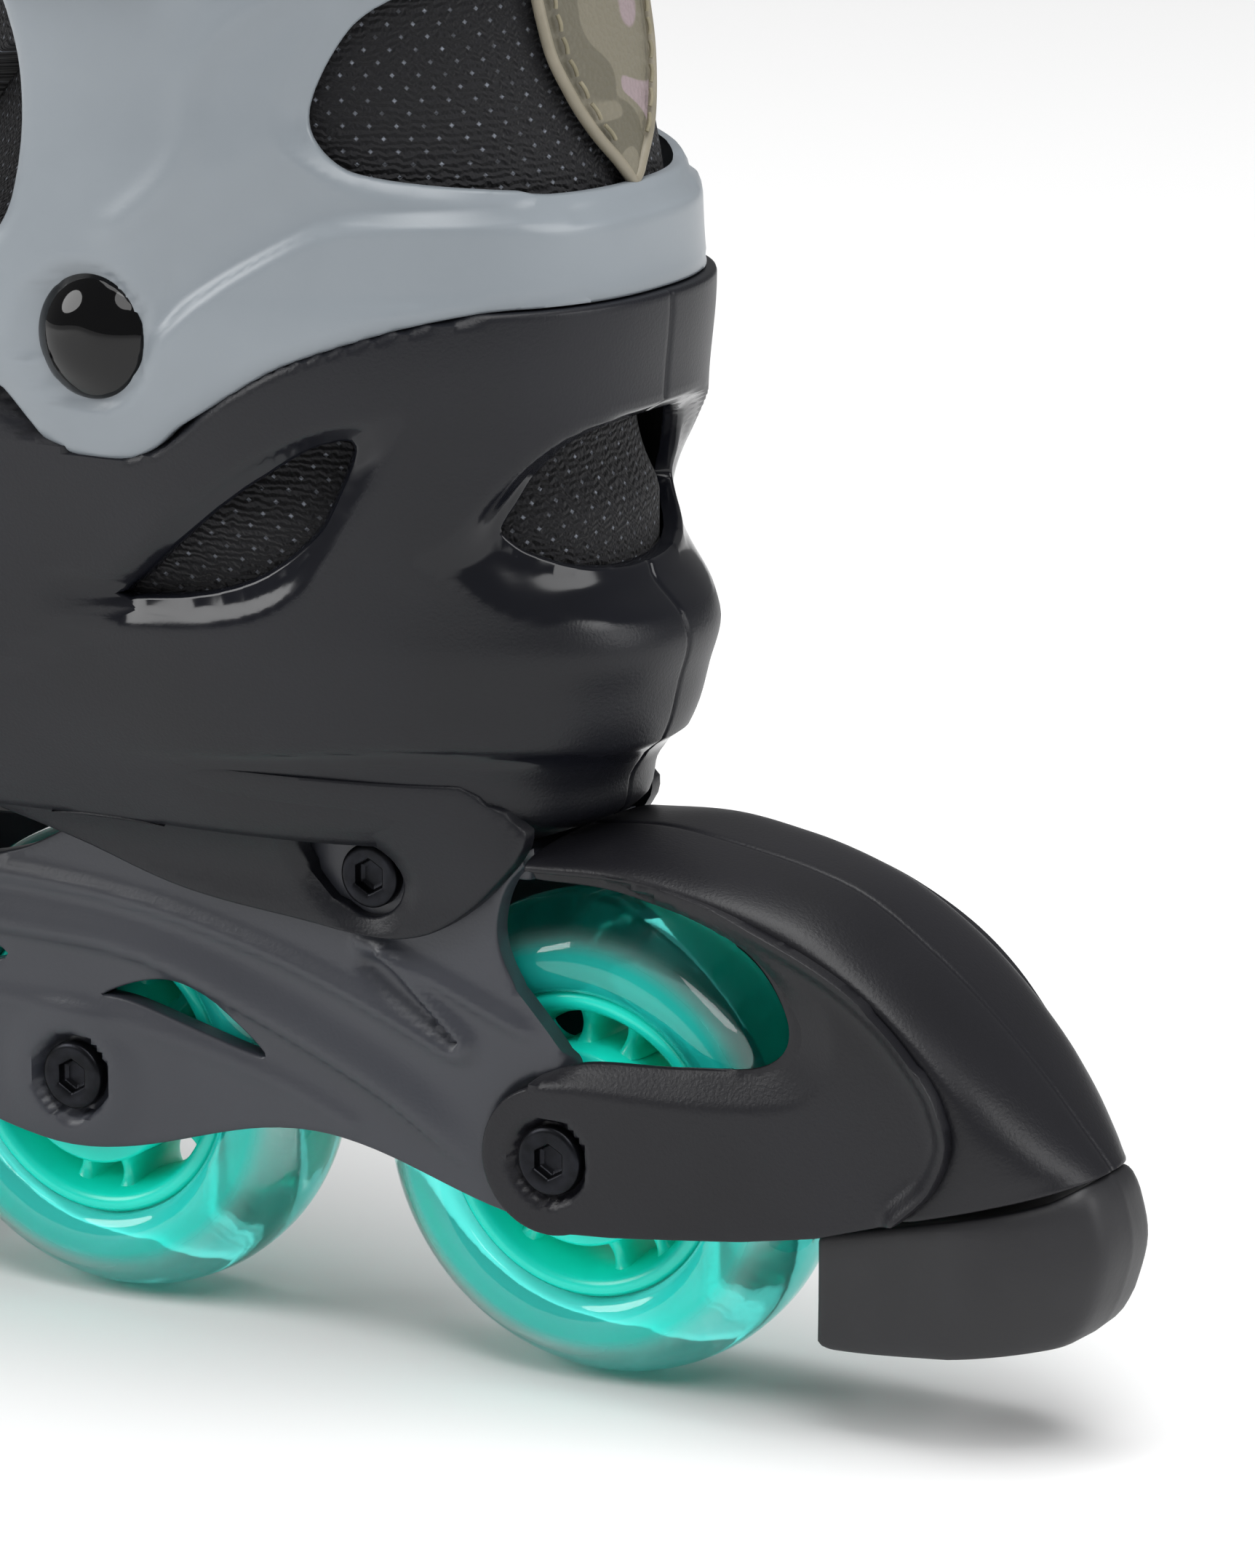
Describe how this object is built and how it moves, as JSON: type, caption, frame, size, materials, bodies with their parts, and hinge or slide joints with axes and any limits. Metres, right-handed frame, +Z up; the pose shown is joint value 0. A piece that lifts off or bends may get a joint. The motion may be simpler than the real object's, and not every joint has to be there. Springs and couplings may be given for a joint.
{
  "type": "inline skate",
  "caption": "Soft inline skate with a moulded boot shell, a hinged cuff with strap and ratchet buckle, a deep plastic frame, a row of wheels and a heel brake.",
  "frame": {"origin": "centre of the bounding box in plan, on the floor that the wheels stand on", "axes": "+X towards the toe along the wheels' row, +Y towards the inner side of the foot (the side with no buckles), +Z up"},
  "size_m": [0.3596, 0.1022, 0.262],
  "materials": {
    "shell_plastic": "fine-textured satin black",
    "cuff_plastic": "semi-gloss cool light grey",
    "frame_plastic": "satin charcoal glass-filled nylon",
    "brake_plastic": "textured black",
    "brake_rubber": "dull black",
    "wheel_urethane": "translucent teal, slightly dusty",
    "hub_plastic": "semi-gloss teal",
    "bearing_steel": "ground and polished",
    "black_steel": "black oxide",
    "buckle_plastic": "semi-gloss black",
    "cap_plastic": "glossy black",
    "webbing": "woven black",
    "liner_mesh": "spacer mesh over foam, black",
    "tab_leatherette": "printed leatherette, khaki grey"
  },
  "bodies": {
    "chassis": {"frame": "frame_plastic", "spacer_1": "bearing_steel", "axle_bolt_1": "black_steel", "axle_screw_1": "black_steel", "spacer_2": "bearing_steel", "axle_bolt_2": "black_steel", "axle_screw_2": "black_steel", "spacer_3": "bearing_steel", "axle_bolt_3": "black_steel", "axle_screw_3": "black_steel", "spacer_4": "bearing_steel", "axle_bolt_4": "black_steel", "axle_screw_4": "black_steel", "mount_bolt_rear": "black_steel", "mount_bolt_front": "black_steel", "mount_nut_rear": "black_steel", "mount_nut_front": "black_steel", "brake_housing": "brake_plastic", "brake_pad": "brake_rubber", "brake_screw": "black_steel", "shell": "shell_plastic", "footbed": "liner_mesh", "liner_foot": "liner_mesh", "tongue_foot": "liner_mesh", "pivot_rivet_left": "cap_plastic", "pivot_rivet_right": "cap_plastic", "instep_strap": "webbing", "instep_buckle_base": "buckle_plastic", "instep_buckle_pin": "bearing_steel", "instep_strap_screw": "black_steel", "lace": "webbing", "lace_guide_left": "buckle_plastic", "lace_guide_right": "buckle_plastic"},
    "wheel_1": {"tyre_1": "wheel_urethane", "hub_1": "hub_plastic", "bearing_1_left": "bearing_steel", "bearing_1_right": "bearing_steel"},
    "wheel_2": {"tyre_2": "wheel_urethane", "hub_2": "hub_plastic", "bearing_2_left": "bearing_steel", "bearing_2_right": "bearing_steel"},
    "wheel_3": {"tyre_3": "wheel_urethane", "hub_3": "hub_plastic", "bearing_3_left": "bearing_steel", "bearing_3_right": "bearing_steel"},
    "wheel_4": {"tyre_4": "wheel_urethane", "hub_4": "hub_plastic", "bearing_4_left": "bearing_steel", "bearing_4_right": "bearing_steel"},
    "cuff": {"cuff": "cuff_plastic", "liner_cuff": "liner_mesh", "tongue_cuff": "liner_mesh", "pull_tab": "tab_leatherette", "cuff_strap": "webbing", "cuff_buckle_base": "buckle_plastic", "cuff_buckle_pin": "bearing_steel", "cuff_strap_screw": "black_steel"},
    "cuff_lever": {"cuff_buckle_lever": "buckle_plastic"},
    "instep_lever": {"instep_buckle_lever": "buckle_plastic"}
  },
  "joints": [
    {"name": "wheel_1_spin", "type": "hinge", "parent": "chassis", "child": "wheel_1", "pos_m": [0.14532, 0.00275, 0.035], "axis": [0, 1, 0], "continuous": true},
    {"name": "wheel_2_spin", "type": "hinge", "parent": "chassis", "child": "wheel_2", "pos_m": [0.06392, 0.00275, 0.035], "axis": [0, 1, 0], "continuous": true},
    {"name": "wheel_3_spin", "type": "hinge", "parent": "chassis", "child": "wheel_3", "pos_m": [-0.01748, 0.00275, 0.035], "axis": [0, 1, 0], "continuous": true},
    {"name": "wheel_4_spin", "type": "hinge", "parent": "chassis", "child": "wheel_4", "pos_m": [-0.09888, 0.00275, 0.035], "axis": [0, 1, 0], "continuous": true},
    {"name": "cuff_flex", "type": "hinge", "parent": "chassis", "child": "cuff", "pos_m": [-0.04108, 0.00275, 0.15], "axis": [0, 1, 0], "range_deg": [0, 15]},
    {"name": "cuff_buckle", "type": "hinge", "parent": "cuff", "child": "cuff_lever", "pos_m": [-0.04488, -0.04805, 0.213], "axis": [0, 0, -1], "range_deg": [0, 80]},
    {"name": "instep_buckle", "type": "hinge", "parent": "chassis", "child": "instep_lever", "pos_m": [0.01592, -0.04619, 0.12215], "axis": [0.7848, 0, -0.6198], "range_deg": [0, 80]}
  ]
}
